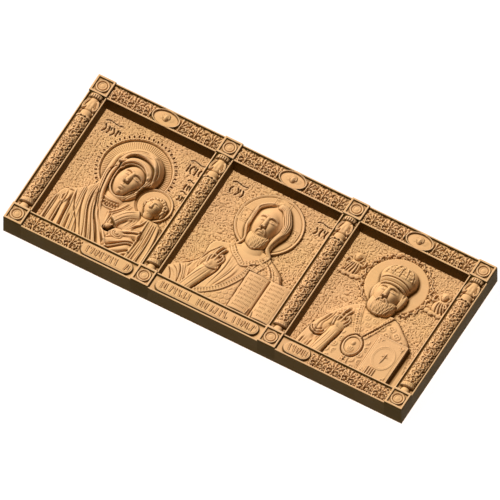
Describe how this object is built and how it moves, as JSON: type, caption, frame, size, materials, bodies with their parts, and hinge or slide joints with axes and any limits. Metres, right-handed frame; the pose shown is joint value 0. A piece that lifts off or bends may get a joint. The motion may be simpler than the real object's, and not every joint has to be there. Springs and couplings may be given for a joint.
{
  "type": "carved wooden triptych icon board",
  "caption": "Long wooden board with deep carved relief icons side by side, framed by ornamented rails, half-round columns and rosette blocks.",
  "frame": {"origin": "centre of the board's back face", "axes": "+X along the board's length, +Y towards the tops of the images, +Z out of the carved face; the board lies on its back"},
  "size_m": [0.46, 0.194, 0.027],
  "materials": {
    "carved_wood": "satin varnish, darker stain on the upright walls and in the hollows"
  },
  "bodies": {
    "root": {"carved_board": "carved_wood"}
  },
  "joints": []
}
